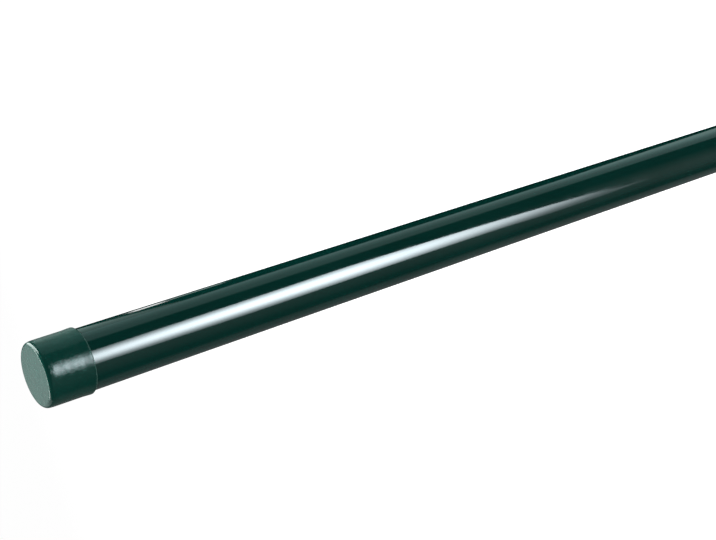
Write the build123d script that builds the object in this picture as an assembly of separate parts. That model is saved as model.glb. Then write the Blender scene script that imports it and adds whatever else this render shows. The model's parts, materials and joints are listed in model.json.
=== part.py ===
from build123d import *
import os

# A round fence post for wire mesh: a plastic-coated steel tube, open at its foot, with a moulded cap over its head.
# Millimetres. The post stands along +Z, and the origin is the centre of the foot's cut end.

# The tube, measured over its coat
tube_diameter = 34.0
tube_wall = 1.5
tube_length = 1500.0
outer_edge_break = 0.4
inner_edge_break = 0.25

# How the cap fits the tube: the tube's end meets the cap's floor, and the skirt passes down its outside
cap_clearance = 0.05
cap_engagement = 24.0
root_relief = 0.1

# The cap's walls: the skirt thickens from the closed end to the mouth, which is the mould's draft
cap_end_thickness = 2.0
skirt_wall_at_end = 0.95
skirt_wall_at_mouth = 1.05
rim_radius = 2.4

# The thin bead round the outside of the mouth, and the lead-in inside it
bead_width = 2.0
bead_height = 0.25
lead_in_length = 1.5
lead_in_depth = 0.4

tube_radius = tube_diameter / 2
cap_bore_radius = tube_radius + cap_clearance


def make_post_tube():
    # A straight tube, cut square at both ends, with its four cut edges broken
    with BuildPart() as tube:
        with BuildSketch():
            Circle(tube_radius)
            Circle(tube_radius - tube_wall, mode=Mode.SUBTRACT)
        extrude(amount=tube_length)
        inner_edges = tube.edges().filter_by(GeomType.CIRCLE).sort_by(SortBy.RADIUS)[:2]
        chamfer(inner_edges, inner_edge_break)
        outer_edges = tube.edges().filter_by(GeomType.CIRCLE).sort_by(SortBy.RADIUS)[-2:]
        chamfer(outer_edges, outer_edge_break)
    return tube.part


def make_end_cap():
    # Half the cap's section, as radius and height, turned about the post's axis
    floor_height = tube_length
    top_height = floor_height + cap_end_thickness
    mouth_height = floor_height - cap_engagement
    skirt_top = (cap_bore_radius + skirt_wall_at_end, top_height)
    skirt_foot_radius = cap_bore_radius + skirt_wall_at_mouth
    bead_top = (skirt_foot_radius, mouth_height + bead_width)
    bead_crown = (skirt_foot_radius + bead_height, mouth_height + bead_width / 2)
    bead_foot = (skirt_foot_radius, mouth_height)
    lead_in_foot = (cap_bore_radius + lead_in_depth, mouth_height)
    lead_in_top = (cap_bore_radius, mouth_height + lead_in_length)
    root = (cap_bore_radius, floor_height)

    with BuildPart() as cap:
        with BuildSketch(Plane.XZ) as section:
            with BuildLine():
                Polyline(lead_in_top, root, (0, floor_height), (0, top_height), skirt_top, bead_top)
                ThreePointArc(bead_top, bead_crown, bead_foot)
                Polyline(bead_foot, lead_in_foot, lead_in_top)
            make_face()
            # The root's fillet stays inside the tube's broken edge, so that the tube can reach the floor
            fillet(section.vertices().sort_by_distance(root)[0], outer_edge_break - root_relief)
            fillet(section.vertices().sort_by_distance(skirt_top)[0], rim_radius)
        revolve(axis=Axis.Z)
    return cap.part


os.makedirs("parts", exist_ok=True)
export_step(make_post_tube(), "parts/post_tube.step")
export_step(make_end_cap(), "parts/end_cap.step")
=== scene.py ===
import json
import math
import bpy
import numpy as np
from mathutils import Matrix, Vector


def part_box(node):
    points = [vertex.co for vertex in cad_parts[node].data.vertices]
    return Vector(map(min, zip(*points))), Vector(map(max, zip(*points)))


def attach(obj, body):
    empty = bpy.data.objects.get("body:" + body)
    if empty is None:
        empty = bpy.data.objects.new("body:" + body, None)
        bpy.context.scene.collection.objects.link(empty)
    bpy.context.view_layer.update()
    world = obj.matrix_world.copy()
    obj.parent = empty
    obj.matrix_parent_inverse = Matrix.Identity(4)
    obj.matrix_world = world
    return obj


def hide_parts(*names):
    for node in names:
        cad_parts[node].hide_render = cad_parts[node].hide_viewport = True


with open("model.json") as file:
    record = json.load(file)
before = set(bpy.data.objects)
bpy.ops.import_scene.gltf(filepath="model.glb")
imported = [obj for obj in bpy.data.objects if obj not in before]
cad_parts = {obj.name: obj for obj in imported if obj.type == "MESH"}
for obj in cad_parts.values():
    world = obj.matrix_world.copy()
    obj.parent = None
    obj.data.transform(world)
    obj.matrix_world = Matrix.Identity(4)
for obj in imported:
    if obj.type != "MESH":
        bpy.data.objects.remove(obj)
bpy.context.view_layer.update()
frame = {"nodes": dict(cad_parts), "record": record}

mm = 0.001
tiny = 1e-8   # a length or an angle below this counts as none
print("frame loaded:", ", ".join(sorted(frame["nodes"])))

# Sizes read from the frame: the tube's walls and ends, and the cap's mouth and closed end
mountDims = {mount["name"]: mount["dims"] for mount in frame["record"]["mounts"]}
tubeRadius = mountDims["ground_socket"]["r_mm"] * mm
boreRadius = mountDims["foot_bore"]["r_mm"] * mm
footHeight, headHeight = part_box("post_tube")[0].z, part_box("post_tube")[1].z
mouthHeight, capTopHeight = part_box("end_cap")[0].z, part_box("end_cap")[1].z


# Turned surfaces: an outline in (radius, height), rounded at its corners and swung round the post's axis

def unit(vectors):
    return vectors / np.maximum(np.linalg.norm(vectors, axis=-1, keepdims=True), tiny)


def roundedOutline(corners, arcSteps, shoulder, rowGap, closed):
    # Each corner (r, h, radius) becomes an arc tangent to both its sides. The arc's centre lies on the
    # corner's bisector, radius / sin(half the corner) away from it, and the arc's points turn from one
    # side's tangent point to the other's: (sin((1 - s) turn) first + sin(s turn) last) / sin(turn).
    point, radius = np.array(corners)[:, :2], np.array(corners)[:, 2:]
    toLast = unit(np.roll(point, 1, axis=0) - point)
    toNext = unit(np.roll(point, -1, axis=0) - point)
    cosine = np.clip((toLast * toNext).sum(axis=1, keepdims=True), -1, 1)
    half = np.maximum(np.arccos(cosine) / 2, tiny)
    reach = radius / np.tan(half)
    centre = point + unit(toLast + toNext) * radius / np.sin(half)
    first = point + toLast * reach - centre
    last = point + toNext * reach - centre
    turn = np.maximum(np.pi - 2 * half, tiny)[:, None]
    s = np.linspace(0, 1, arcSteps)[None, :, None]
    swung = np.sin((1 - s) * turn) * first[:, None] + np.sin(s * turn) * last[:, None]
    arcs = centre[:, None] + swung / np.sin(turn)
    # a short row beside each arc keeps the shading of the flat next to it flat
    gap = np.where(radius > 0, shoulder, 0)
    before = (arcs[:, 0] + toLast * gap)[:, None]
    after = (arcs[:, -1] + toNext * gap)[:, None]
    rows = np.concatenate([before, arcs, after], axis=1).reshape(-1, 2)
    if not closed:
        # an open outline starts and ends on a single point
        rows = rows[arcSteps + 1:len(rows) - arcSteps - 1]
    rows = rows[np.linalg.norm(rows - np.roll(rows, 1, axis=0), axis=1) > tiny]
    return evenRows(np.concatenate([rows, rows[:1]]) if closed else rows, rowGap, closed)


def evenRows(rows, rowGap, closed):
    # long stretches between two points are divided evenly: a + (k / n) (b - a), for k from 0 to n - 1
    step = np.diff(rows, axis=0)
    parts = np.maximum(np.ceil(np.linalg.norm(step, axis=1) / rowGap), 1).astype(int)
    owner = np.repeat(np.arange(len(parts)), parts)
    k = np.arange(len(owner)) - np.repeat(np.cumsum(parts) - parts, parts)
    filled = rows[owner] + (k / parts[owner])[:, None] * step[owner]
    return filled if closed else np.concatenate([filled, rows[-1:]])


def turnedGrid(outline, steps):
    # each outline point (r, h) goes once round the axis: (r cos u, r sin u, h)
    u = np.linspace(0, 2 * np.pi, steps, endpoint=False)
    r, h = outline[:, :1], outline[:, 1:]
    return np.stack([r * np.cos(u), r * np.sin(u), h + 0 * u], axis=-1)


def gridQuads(rows, steps, closed):
    # the four corners of each face between rows i and i + 1 and columns j and j + 1, as seen from outside
    i = np.arange(rows if closed else rows - 1)[:, None]
    j = np.arange(steps)[None, :]
    row, nextRow = i * steps, (i + 1) % rows * steps
    nextColumn = (j + 1) % steps
    corners = [row + j, row + nextColumn, nextRow + nextColumn, nextRow + j]
    return np.stack(corners, axis=-1).reshape(-1, 4)


def makePiece(name, points, faces):
    mesh = bpy.data.meshes.new(name)
    mesh.from_pydata(points.reshape(-1, 3).tolist(), [], faces)
    mesh.polygons.foreach_set("use_smooth", np.ones(len(mesh.polygons), dtype=bool))
    mesh.update()
    piece = bpy.data.objects.new(name, mesh)
    bpy.context.scene.collection.objects.link(piece)
    return piece


# Materials

def addNode(tree, kind, values=None, **settings):
    node = tree.nodes.new(kind)
    for name, value in settings.items():
        setattr(node, name, value)
    for name, value in (values or {}).items():
        node.inputs[name].default_value = value
    return node


noiseSpan = {"From Min": 0.35, "From Max": 0.65}   # nearly all of a noise texture's values lie between these


def buildUnevenness():
    # what every surface here has a little of: a fine grain, a slower ripple, and drifts of tone and gloss
    group = bpy.data.node_groups.new("surfaceUnevenness", "ShaderNodeTree")
    group.interface.new_socket("Place", in_out="INPUT", socket_type="NodeSocketVector")
    for name in ("Grain Scale", "Ripple Scale", "Ripple Share", "Drift Scale"):
        group.interface.new_socket(name, in_out="INPUT", socket_type="NodeSocketFloat")
    for name in ("Tone", "Gloss", "Height"):
        group.interface.new_socket(name, in_out="OUTPUT", socket_type="NodeSocketFloat")
    ins = addNode(group, "NodeGroupInput")
    outs = addNode(group, "NodeGroupOutput")
    grain = addNode(group, "ShaderNodeTexNoise", {"Detail": 3.0, "Roughness": 0.55})
    ripple = addNode(group, "ShaderNodeTexNoise", {"Detail": 1.0, "Roughness": 0.4})
    drift = addNode(group, "ShaderNodeTexNoise", {"Detail": 2.0, "Roughness": 0.5})
    height = addNode(group, "ShaderNodeMix", data_type="FLOAT")
    tone = addNode(group, "ShaderNodeMapRange", noiseSpan)
    gloss = addNode(group, "ShaderNodeMapRange", noiseSpan)
    link = group.links.new
    for noise, scale in ((grain, "Grain Scale"), (ripple, "Ripple Scale"), (drift, "Drift Scale")):
        link(ins.outputs["Place"], noise.inputs["Vector"])
        link(ins.outputs[scale], noise.inputs["Scale"])
    link(ins.outputs["Ripple Share"], height.inputs["Factor"])
    link(grain.outputs[0], height.inputs["A"])
    link(ripple.outputs[0], height.inputs["B"])
    link(drift.outputs[0], tone.inputs["Value"])
    link(ripple.outputs[0], gloss.inputs["Value"])
    link(tone.outputs["Result"], outs.inputs["Tone"])
    link(gloss.outputs["Result"], outs.inputs["Gloss"])
    link(height.outputs[0], outs.inputs["Height"])
    return group


unevenness = buildUnevenness()


def unevenMaterial(name, look):
    # a Principled surface whose colour, roughness and bump all come from the unevenness group
    material = bpy.data.materials.new(name)
    material.use_nodes = True
    tree = material.node_tree
    shader = tree.nodes["Principled BSDF"]
    shader.inputs["IOR"].default_value = look["ior"]
    shader.inputs["Metallic"].default_value = look["metallic"]
    place = addNode(tree, "ShaderNodeTexCoord")
    uneven = addNode(tree, "ShaderNodeGroup", node_tree=unevenness)
    for socket in ("Grain Scale", "Ripple Scale", "Ripple Share", "Drift Scale"):
        uneven.inputs[socket].default_value = look[socket]
    tone = addNode(tree, "ShaderNodeMix", data_type="RGBA")
    tone.inputs["A"].default_value = (*look["darkTone"], 1)
    tone.inputs["B"].default_value = (*look["lightTone"], 1)
    smoothest, roughest = look["roughness"]
    gloss = addNode(tree, "ShaderNodeMapRange", {"To Min": smoothest, "To Max": roughest})
    bump = addNode(tree, "ShaderNodeBump", {"Strength": look["bumpStrength"], "Distance": look["bumpDepth"]})
    link = tree.links.new
    link(place.outputs["Object"], uneven.inputs["Place"])
    link(uneven.outputs["Tone"], tone.inputs["Factor"])
    link(uneven.outputs["Gloss"], gloss.inputs["Value"])
    link(uneven.outputs["Height"], bump.inputs["Height"])
    link(tone.outputs["Result"], shader.inputs["Base Color"])
    link(gloss.outputs["Result"], shader.inputs["Roughness"])
    link(bump.outputs["Normal"], shader.inputs["Normal"])
    return material


def paintedEdgeHighlight(material, look):
    # painted highlight: mixes a paler tone over the base colour just above the mouth, from the first of the
    # edge heights and in full from the second down, standing in for the light that the mouth's rounded edge
    # catches
    tree = material.node_tree
    colour = tree.nodes["Principled BSDF"].inputs["Base Color"]
    plain = colour.links[0].from_socket
    start, full = [mouthHeight + height for height in look["edgeHighlightHeights"]]
    place = addNode(tree, "ShaderNodeTexCoord")
    across = addNode(tree, "ShaderNodeSeparateXYZ")
    share = addNode(tree, "ShaderNodeMapRange", {"From Min": start, "From Max": full})
    mix = addNode(tree, "ShaderNodeMix", data_type="RGBA")
    mix.inputs["B"].default_value = (*look["edgeHighlightTone"], 1)
    tree.links.new(place.outputs["Object"], across.inputs[0])
    tree.links.new(across.outputs["Z"], share.inputs["Value"])
    tree.links.new(share.outputs["Result"], mix.inputs["Factor"])
    tree.links.new(plain, mix.inputs["A"])
    tree.links.new(mix.outputs["Result"], colour)


coatFinish = {  # glossy plastic coat with a faint orange peel
    "darkTone": (0.0010, 0.038, 0.030), "lightTone": (0.0016, 0.045, 0.036),
    "roughness": (0.06, 0.10), "metallic": 0.0, "ior": 1.5,
    "Grain Scale": 420.0, "Ripple Scale": 70.0, "Ripple Share": 0.5, "Drift Scale": 9.0,
    "bumpStrength": 0.25, "bumpDepth": 0.05 * mm,
}
capFinish = {  # moulded plastic, satin, a shade lighter than the coat
    "darkTone": (0.0035, 0.056, 0.043), "lightTone": (0.0045, 0.066, 0.051),
    "roughness": (0.13, 0.20), "metallic": 0.0, "ior": 1.35,
    "Grain Scale": 900.0, "Ripple Scale": 330.0, "Ripple Share": 0.85, "Drift Scale": 40.0,
    "bumpStrength": 0.5, "bumpDepth": 0.26 * mm,
    "edgeHighlightTone": (0.055, 0.165, 0.135),       # painted highlight: the mouth's rounded edge is coloured paler, standing in for the light it catches
    "edgeHighlightHeights": (0.75 * mm, 0.40 * mm),   # above the mouth: where the painted highlight starts, and where it is full
}
zincFinish = {  # the bare galvanised wall inside the tube
    "darkTone": (0.30, 0.31, 0.32), "lightTone": (0.46, 0.47, 0.49),
    "roughness": (0.38, 0.55), "metallic": 1.0, "ior": 1.5,
    "Grain Scale": 700.0, "Ripple Scale": 90.0, "Ripple Share": 0.4, "Drift Scale": 60.0,
    "bumpStrength": 0.5, "bumpDepth": 0.08 * mm,
}
cutFinish = {  # the sawn steel of the two ends
    "darkTone": (0.38, 0.38, 0.38), "lightTone": (0.52, 0.52, 0.53),
    "roughness": (0.25, 0.40), "metallic": 1.0, "ior": 1.5,
    "Grain Scale": 2400.0, "Ripple Scale": 500.0, "Ripple Share": 0.3, "Drift Scale": 200.0,
    "bumpStrength": 0.5, "bumpDepth": 0.04 * mm,
}
coatGreen = unevenMaterial("coatGreen", coatFinish)
capGreen = unevenMaterial("capGreen", capFinish)
# painted highlight: the cap's mouth edge is given a paler colour
paintedEdgeHighlight(capGreen, capFinish)
bareZinc = unevenMaterial("bareZinc", zincFinish)
cutSteel = unevenMaterial("cutSteel", cutFinish)
print("materials made")


# The coated tube

tubeLook = {
    "stepsRound": 160,
    "rowGap": 6 * mm,
    "outerEdge": 0.4 * mm,
    "innerEdge": 0.25 * mm,
    "coatThickness": 0.25 * mm,
    "arcSteps": 6,
    "shoulder": 0.06 * mm,
    "ripple": 0.012 * mm,               # half the depth of the coat's slow ripple, all of it inside the round
    "rippleLobes": (2, 3, 5),           # crests round the post
    "rippleTurns": (3.0, -7.0, 11.0),   # how many times each crest winds round from foot to head
}


def makeTube(look):
    steps = look["stepsRound"]
    outline = roundedOutline([
        (tubeRadius, footHeight, look["outerEdge"]),
        (tubeRadius, headHeight, look["outerEdge"]),
        (boreRadius, headHeight, look["innerEdge"]),
        (boreRadius, footHeight, look["innerEdge"]),
    ], look["arcSteps"], look["shoulder"], look["rowGap"], closed=True)
    points = turnedGrid(outline, steps)

    # the outer wall moves inwards by ripple * (1 + the mean of sin(lobes u + turns 2 pi h / length))
    u = np.arctan2(points[..., 1], points[..., 0])
    along = 2 * np.pi * (points[..., 2] - footHeight) / (headHeight - footHeight)
    windings = zip(look["rippleLobes"], look["rippleTurns"])
    waves = [np.sin(lobes * u + turns * along) for lobes, turns in windings]
    onCoat = outline[:, :1] > tubeRadius - tiny
    inwards = onCoat * look["ripple"] * (1 + sum(waves) / len(waves))
    points[..., :2] *= 1 - (inwards / tubeRadius)[..., None]
    tube = makePiece("coated_tube", points, gridQuads(len(outline), steps, True).tolist())

    # the coat is outermost, the cut ends show steel, and the wall inside is zinc
    rowRadius = (outline[:, 0] + np.roll(outline[:, 0], -1)) / 2
    isCoat = rowRadius > tubeRadius - look["coatThickness"]
    isCut = rowRadius > boreRadius + look["innerEdge"]
    for material in (coatGreen, cutSteel, bareZinc):
        tube.data.materials.append(material)
    slots = np.where(isCoat, 0, np.where(isCut, 1, 2))
    tube.data.polygons.foreach_set("material_index", np.repeat(slots, steps).astype(np.int32))
    return tube


coatedTube = makeTube(tubeLook)
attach(coatedTube, "root")
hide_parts("post_tube")
print("tube made:", len(coatedTube.data.polygons), "faces")


# The end cap

capLook = {
    "stepsRound": 160,
    "rowGap": 1.5 * mm,
    "clearance": 0.05 * mm,        # between the cap's bore and the tube
    "wallAtEnd": 0.95 * mm,
    "wallAtMouth": 1.05 * mm,
    "endThickness": 2.0 * mm,
    "rimRadius": 2.4 * mm,
    "taperLength": 3.9 * mm,       # the skirt draws in a little before its rim
    "taperDepth": 0.39 * mm,
    "taperRadius": 20 * mm,
    "rootRadius": 0.3 * mm,
    "beadHeight": 0.25 * mm,
    "beadFlat": 1.1 * mm,
    "beadWidth": 5.4 * mm,         # the bead runs out into the skirt over this length
    "beadShoulder": 12 * mm,
    "beadEdge": 0.7 * mm,
    "leadInLength": 1.5 * mm,
    "leadInDepth": 0.4 * mm,
    "mouthRadius": 0.15 * mm,
    "arcSteps": 12,
    "shoulder": 0.1 * mm,
}


def makeCap(look):
    steps = look["stepsRound"]
    bore = tubeRadius + look["clearance"]
    floor = capTopHeight - look["endThickness"]
    skirtFoot, skirtHead = bore + look["wallAtMouth"], bore + look["wallAtEnd"]
    bead = skirtFoot + look["beadHeight"]
    outline = roundedOutline([
        (0, floor, 0),
        (bore, floor, look["rootRadius"]),
        (bore, mouthHeight + look["leadInLength"], look["rootRadius"]),
        (bore + look["leadInDepth"], mouthHeight, look["mouthRadius"]),
        (bead, mouthHeight, look["beadEdge"]),
        (bead, mouthHeight + look["beadFlat"], look["beadShoulder"]),
        (skirtFoot, mouthHeight + look["beadWidth"], look["beadShoulder"]),
        (skirtHead, capTopHeight - look["taperLength"], look["taperRadius"]),
        (skirtHead - look["taperDepth"], capTopHeight, look["rimRadius"]),
        (0, capTopHeight, 0),
    ], look["arcSteps"], look["shoulder"], look["rowGap"], closed=False)

    # the rings between the two poles, and at each pole one point with a fan of triangles
    rings = turnedGrid(outline[1:-1], steps).reshape(-1, 3)
    poles = np.array([[0, 0, outline[0, 1]], [0, 0, outline[-1, 1]]])
    floorPole, topPole = len(rings), len(rings) + 1
    lastRing = len(rings) - steps
    j = np.arange(steps)
    nextColumn = (j + 1) % steps
    floorFan = np.stack([nextColumn, j, np.full_like(j, floorPole)], axis=1)
    topFan = np.stack([lastRing + j, lastRing + nextColumn, np.full_like(j, topPole)], axis=1)
    faces = gridQuads(len(outline) - 2, steps, False).tolist() + floorFan.tolist() + topFan.tolist()
    cap = makePiece("moulded_cap", np.concatenate([rings, poles]), faces)
    cap.data.materials.append(capGreen)
    return cap


mouldedCap = makeCap(capLook)
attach(mouldedCap, "root")
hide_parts("end_cap")
print("cap made:", len(mouldedCap.data.polygons), "faces")


# The studio: a pale floor, soft lamps, and walls and panels that only reflections see.
# An azimuth u is 0 towards the camera and 90 degrees towards +X: its point at radius r is (r sin u, -r cos u).

studio = {
    "floorSize": 24.0,
    "floorColour": (0.78, 0.78, 0.78),
    "floorLift": 0.60,             # added for the camera and for mirrors, so that the floor reads white
    "skyForDiffuse": 0.5,
    "wallSteps": 144,
    "wallRadius": 1.15,
    "wallTop": 1.72,
    "groundHole": 1 * mm,          # the wall's ground starts at this radius, inside the post
    "groundLift": 10 * mm,         # and lies this far above the floor
    "wallStops": (                 # azimuth in degrees, strength
        (-180, 0.16), (-105, 0.18), (-92, 0.03), (-75, 0.04), (-60, 0.14), (-38, 0.26), (-20, 0.26),
        (20, 0.02), (57, 0.02), (60, 0.40), (75, 0.46), (102, 0.80), (106, 0.0), (180, 0.0),
    ),
    "sideSpan": (58, 104),         # this stretch of the wall is tinted
    "sideTint": (0.95, 1.42, 1.40),
    "bandSteps": 60,
    "frontSpan": (-112, 112),      # over this stretch a hood carries the wall on up to a dark roof
    "roofHeight": 2.6,
    "roofBack": 0.8,               # the roof ends this far behind the post
    "roofStrength": 0.02,
    "boxDistance": 0.8,            # the front softbox hangs this far in front of the post
    "boxCorners": (                # x, z
        (-0.42, 1.35), (-0.42, 1.12), (-0.52, 0.85), (-0.455, 0.62), (-0.49, 0.40),
        (-0.66, 0.20), (-0.66, 0.05), (-0.52, 0.04), (-0.36, 0.20), (-0.20, 0.29),
        (-0.06, 0.40), (0.14, 0.59), (0.28, 0.76), (0.29, 1.12), (0.36, 1.35),
    ),
    "boxCentre": (-0.042, 0.90),
    "boxHalfHeight": 0.36,         # its strength halves this far above and below the centre
    "boxHalfWidth": ((0.30, 0.34), (1.30, 0.15)),   # and this far beside it: height, half width
    "boxStrength": 30.0,
    "boxLeast": 1.0,               # the strength that is left at its edges
    "boxTint": (0.84, 0.94, 1.0),
}


def onlyInReflections(thing):
    thing.visible_camera = False
    thing.visible_diffuse = False
    thing.visible_transmission = False
    thing.visible_volume_scatter = False
    thing.visible_shadow = False


def mathNode(tree, operation, first, second):
    # each input is a number or another node's output
    node = addNode(tree, "ShaderNodeMath", operation=operation)
    for socket, value in zip(node.inputs, (first, second)):
        if isinstance(value, (int, float)):
            socket.default_value = value
        else:
            tree.links.new(value, socket)
    return node.outputs[0]


def squared(tree, value):
    return mathNode(tree, "MULTIPLY", value, value)


def seesBackground(tree):
    # 1 for the rays that should find a white background: the camera's, and those mirrored or refracted
    path = addNode(tree, "ShaderNodeLightPath")
    direct = mathNode(tree, "MAXIMUM", path.outputs["Is Camera Ray"], path.outputs["Is Glossy Ray"])
    return mathNode(tree, "MAXIMUM", direct, path.outputs["Is Transmission Ray"])


def makeFloor():
    half = studio["floorSize"] / 2
    corners = np.array([[-half, -half, 0], [half, -half, 0], [half, half, 0], [-half, half, 0]])
    floor = makePiece("pale_floor", corners + [0, 0, footHeight], [[0, 1, 2, 3]])
    material = bpy.data.materials.new("paleFloor")
    material.use_nodes = True
    tree = material.node_tree
    tree.nodes.remove(tree.nodes["Principled BSDF"])
    matt = addNode(tree, "ShaderNodeBsdfDiffuse", {"Color": (*studio["floorColour"], 1)})
    lift = addNode(tree, "ShaderNodeEmission")
    both = addNode(tree, "ShaderNodeAddShader")
    strength = mathNode(tree, "MULTIPLY", seesBackground(tree), studio["floorLift"])
    tree.links.new(strength, lift.inputs["Strength"])
    tree.links.new(matt.outputs[0], both.inputs[0])
    tree.links.new(lift.outputs[0], both.inputs[1])
    tree.links.new(both.outputs[0], tree.nodes["Material Output"].inputs["Surface"])
    floor.data.materials.append(material)


def makeSky():
    world = bpy.data.worlds.new("studioSky")
    world.use_nodes = True
    tree = world.node_tree
    white = tree.nodes["Background"]
    white.inputs["Color"].default_value = (1, 1, 1, 1)
    dim = addNode(tree, "ShaderNodeBackground", {"Color": (1, 1, 1, 1), "Strength": studio["skyForDiffuse"]})
    mix = addNode(tree, "ShaderNodeMixShader")
    tree.links.new(seesBackground(tree), mix.inputs[0])
    tree.links.new(dim.outputs[0], mix.inputs[1])
    tree.links.new(white.outputs[0], mix.inputs[2])
    tree.links.new(mix.outputs[0], tree.nodes["World Output"].inputs["Surface"])
    bpy.context.scene.world = world


def glowMaterial(name):
    # a material that only gives light, and its Emission node
    material = bpy.data.materials.new(name)
    material.use_nodes = True
    tree = material.node_tree
    tree.nodes.remove(tree.nodes["Principled BSDF"])
    glow = addNode(tree, "ShaderNodeEmission")
    tree.links.new(glow.outputs[0], tree.nodes["Material Output"].inputs["Surface"])
    return material, glow


def ringAround(u, radius):
    # (r sin u, -r cos u)
    return radius * np.stack([np.sin(u), -np.cos(u)], axis=-1)


def keepShare(mesh, name, share):
    # one number for each face corner, kept as the first number of a UV map
    layer = mesh.uv_layers.new(name=name)
    layer.data.foreach_set("uv", np.stack([share, 0 * share], axis=1).ravel())


def keptShare(tree):
    place = addNode(tree, "ShaderNodeTexCoord")
    across = addNode(tree, "ShaderNodeSeparateXYZ")
    tree.links.new(place.outputs["UV"], across.inputs[0])
    return across.outputs["X"]


def fillRamp(ramp, stops):
    elements = ramp.color_ramp.elements
    while len(elements) < len(stops):
        elements.new(0.5)
    for element, (position, colour) in zip(elements, stops):
        element.position = position
        element.color = (*colour, 1)


def wallTint(azimuth):
    first, last = studio["sideSpan"]
    return np.array(studio["sideTint"] if first <= azimuth <= last else (1.0, 1.0, 1.0))


def makeWall():
    # a round wall about the post and the ground inside it: (r sin u, -r cos u, h) for three pairs of r and h,
    # with a brightness that goes by azimuth, kept as a share of the full circle
    steps, radius = studio["wallSteps"], studio["wallRadius"]
    u = np.linspace(-np.pi, np.pi, steps + 1)
    r = np.array([studio["groundHole"], radius, radius])[:, None]
    h = np.array([footHeight, footHeight, studio["wallTop"]])[:, None] + studio["groundLift"]
    points = np.stack([r * np.sin(u), -r * np.cos(u), h + 0 * u], axis=-1)
    i, j = np.arange(2)[:, None] * (steps + 1), np.arange(steps)[None, :]
    corners = [i + j, i + j + steps + 1, i + j + steps + 2, i + j + 1]
    quads = np.stack(corners, axis=-1).reshape(-1, 4)
    wall = makePiece("studio_wall", points, quads.tolist())
    keepShare(wall.data, "azimuth", quads.ravel() % (steps + 1) / steps)
    material, glow = glowMaterial("studioWall")
    tree = material.node_tree
    ramp = addNode(tree, "ShaderNodeValToRGB")
    stops = [((azimuth + 180) / 360, value * wallTint(azimuth)) for azimuth, value in studio["wallStops"]]
    fillRamp(ramp, stops)
    tree.links.new(keptShare(tree), ramp.inputs["Fac"])
    tree.links.new(ramp.outputs["Color"], glow.inputs["Color"])
    wall.data.materials.append(material)
    onlyInReflections(wall)


def addBand(name, look):
    # a glowing band about the post that is only mirrored. Its azimuth, the heights of its two edges and its
    # strength all run straight from their first value to their last: first + s (last - first).
    s = np.linspace(0, 1, studio["bandSteps"] + 1)
    u, low, high = [look[key][0] + s * (look[key][1] - look[key][0]) for key in ("azimuths", "low", "high")]
    ring = ringAround(np.radians(u), look["radius"])
    points = np.concatenate([np.column_stack([ring, low]), np.column_stack([ring, high])])
    j = np.arange(len(s) - 1)
    quads = np.stack([j, j + len(s), j + len(s) + 1, j + 1], axis=1)
    band = makePiece(name, points, quads.tolist())
    keepShare(band.data, "along", s[quads.ravel() % len(s)])
    material, glow = glowMaterial(name)
    glow.inputs["Color"].default_value = (*look["tint"], 1)
    tree = material.node_tree
    first, last = look["strength"]
    level = addNode(tree, "ShaderNodeMapRange", {"To Min": first, "To Max": last})
    tree.links.new(keptShare(tree), level.inputs["Value"])
    tree.links.new(level.outputs["Result"], glow.inputs["Strength"])
    band.data.materials.append(material)
    onlyInReflections(band)


def makeRoof():
    # a dark flat roof: the wall's circle over the front span, carried back to roofBack
    radius, height = studio["wallRadius"], studio["roofHeight"]
    u = np.radians(np.linspace(*studio["frontSpan"], studio["bandSteps"] + 1))
    front = np.column_stack([ringAround(u, radius), np.full(len(u), height)])
    back = np.array([[radius, studio["roofBack"], height], [-radius, studio["roofBack"], height]])
    roof = makePiece("studio_roof", np.concatenate([front, back]), [list(range(len(front) + len(back)))])
    material, glow = glowMaterial("studioRoof")
    glow.inputs["Strength"].default_value = studio["roofStrength"]
    roof.data.materials.append(material)
    onlyInReflections(roof)


def makeFrontBox():
    # a softbox low in front of the post, brightest in the middle: its reflection is the streak down the tube
    corners = np.array([(x, -studio["boxDistance"], z) for x, z in studio["boxCorners"]])
    box = makePiece("front_softbox", corners, [list(range(len(corners)))])
    material, glow = glowMaterial("frontSoftbox")
    glow.inputs["Color"].default_value = (*studio["boxTint"], 1)
    # strength * 0.5 ^ (((x - centre) / half width)^2 + ((z - centre) / half height)^2) + least
    tree = material.node_tree
    place = addNode(tree, "ShaderNodeTexCoord")
    across = addNode(tree, "ShaderNodeSeparateXYZ")
    (lowHeight, lowWidth), (highHeight, highWidth) = studio["boxHalfWidth"]
    halfWidth = addNode(tree, "ShaderNodeMapRange", {
        "From Min": lowHeight, "From Max": highHeight, "To Min": lowWidth, "To Max": highWidth,
    })
    tree.links.new(place.outputs["Object"], across.inputs[0])
    tree.links.new(across.outputs["Z"], halfWidth.inputs["Value"])
    centreX, centreZ = studio["boxCentre"]
    aside = mathNode(tree, "SUBTRACT", across.outputs["X"], centreX)
    aside = squared(tree, mathNode(tree, "DIVIDE", aside, halfWidth.outputs["Result"]))
    above = mathNode(tree, "SUBTRACT", across.outputs["Z"], centreZ)
    above = squared(tree, mathNode(tree, "DIVIDE", above, studio["boxHalfHeight"]))
    fall = mathNode(tree, "POWER", 0.5, mathNode(tree, "ADD", aside, above))
    level = mathNode(tree, "MULTIPLY", fall, studio["boxStrength"])
    level = mathNode(tree, "ADD", level, studio["boxLeast"])
    tree.links.new(level, glow.inputs["Strength"])
    box.data.materials.append(material)
    onlyInReflections(box)


def addLamp(name, look):
    # an area lamp, turned to the cap, that lights without being mirrored
    lamp = bpy.data.lights.new(name, "AREA")
    lamp.shape = "SQUARE"
    lamp.size = look["size"]
    lamp.energy = look["power"]
    lamp.color = look["tint"]
    thing = bpy.data.objects.new(name, lamp)
    thing.location = look["place"]
    toCap = Vector((0, 0, capTopHeight)) - thing.location
    thing.rotation_euler = toCap.to_track_quat("-Z", "Y").to_euler()
    thing.visible_camera = False
    thing.visible_glossy = False
    bpy.context.scene.collection.objects.link(thing)


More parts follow.
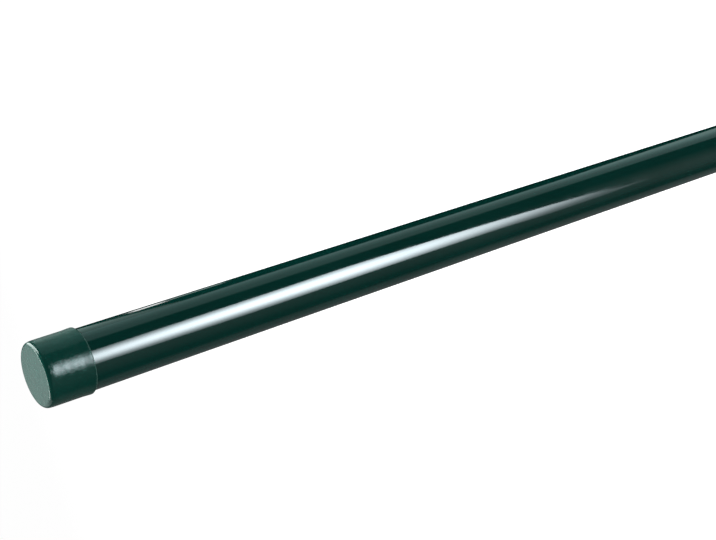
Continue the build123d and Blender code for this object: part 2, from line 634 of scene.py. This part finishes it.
lamps = {
    "backLamp": {"place": (0.2, 1.9, 3.1), "size": 1.5, "power": 93.0, "tint": (1.0, 1.0, 1.0)},
    "rimLamp": {"place": (0.9, 0.7, 2.1), "size": 0.4, "power": 12.0, "tint": (0.95, 1.0, 0.98)},
}
bands = {
    "hood": {                   # carries the wall on up to the roof
        "radius": studio["wallRadius"], "azimuths": studio["frontSpan"],
        "low": (studio["wallTop"], studio["wallTop"]), "high": (studio["roofHeight"], studio["roofHeight"]),
        "strength": (studio["roofStrength"], studio["roofStrength"]), "tint": (1, 1, 1),
    },
    "rim_band": {               # the bright line along the cap's rim
        "radius": 1.0, "azimuths": (90, 153), "low": (2.12, 1.42), "high": (2.75, 2.30),
        "strength": (22.0, 5.0), "tint": (0.92, 1.0, 0.97),
    },
    "border_band": {            # the faint line round the closed end
        "radius": 0.9, "azimuths": (139, 221), "low": (2.23, 2.23), "high": (2.57, 2.57),
        "strength": (9.0, 9.0), "tint": (0.9, 1.0, 0.96),
    },
    "side_band": {              # lights the cap's upper side, and the tube's beside the cap's mouth
        "radius": 1.12, "azimuths": (104, 140), "low": (0.866, 1.04), "high": (1.3, 1.3),
        "strength": (0.6, 0.85), "tint": (0.95, 1.28, 1.22),
    },
    "edge_band": {              # keeps the cap's far edge from going dark
        "radius": 1.12, "azimuths": (140, 179), "low": (1.045, 1.045), "high": (1.16, 1.16),
        "strength": (0.6, 0.04), "tint": (0.9, 1.1, 1.05),
    },
    "sliver_band": {            # the thin bright line beside the tube's upper edge
        "radius": 1.12, "azimuths": (135, 149), "low": (0.895, 0.900), "high": (0.945, 0.957),
        "strength": (3.0, 3.0), "tint": (1, 1, 1),
    },
    "sliver_tail": {            # and the faint end of that line
        "radius": 1.12, "azimuths": (140, 150), "low": (0.79, 0.79), "high": (0.895, 0.88),
        "strength": (0.7, 0.7), "tint": (0.95, 1.2, 1.15),
    },
    "low_band": {               # lights the tube's upper edge far from the cap
        "radius": 0.7, "azimuths": (103, 122), "low": (0.02, 0.02), "high": (0.46, 0.12),
        "strength": (0.8, 0.6), "tint": (0.9, 1.28, 1.22),
    },
}

makeFloor()
makeSky()
makeWall()
makeRoof()
makeFrontBox()
for name, look in lamps.items():
    addLamp(name, look)
for name, look in bands.items():
    addBand(name, look)
print("studio made:", len(lamps), "lamps and", len(bands), "bands")


# The camera: close to the capped head, looking down the post and rolled almost on its side

cameraLook = {
    "lens": 63.59,
    "sensor": 36.0,
    "shift": (-0.0057, -0.0018),
    "inFront": 0.6316,        # from the post's axis, towards -Y
    "aboveCap": 0.2172,
    "aimBelowCap": 0.2123,
    "aimAside": -0.0010,
    "roll": -108.50,
}


def addCamera(look):
    data = bpy.data.cameras.new("photoCamera")
    data.lens = look["lens"]
    data.sensor_width = look["sensor"]
    data.shift_x, data.shift_y = look["shift"]
    data.dof.use_dof = False
    place = Vector((0, -look["inFront"], capTopHeight + look["aboveCap"]))
    aim = Vector((look["aimAside"], 0, capTopHeight - look["aimBelowCap"]))
    level = (aim - place).to_track_quat("-Z", "Y").to_matrix().to_4x4()
    roll = Matrix.Rotation(math.radians(look["roll"]), 4, "Z")
    camera = bpy.data.objects.new("photoCamera", data)
    camera.matrix_world = Matrix.Translation(place) @ level @ roll
    bpy.context.scene.collection.objects.link(camera)
    bpy.context.scene.camera = camera


addCamera(cameraLook)
bpy.context.scene.view_settings.view_transform = "Standard"
print("camera placed")
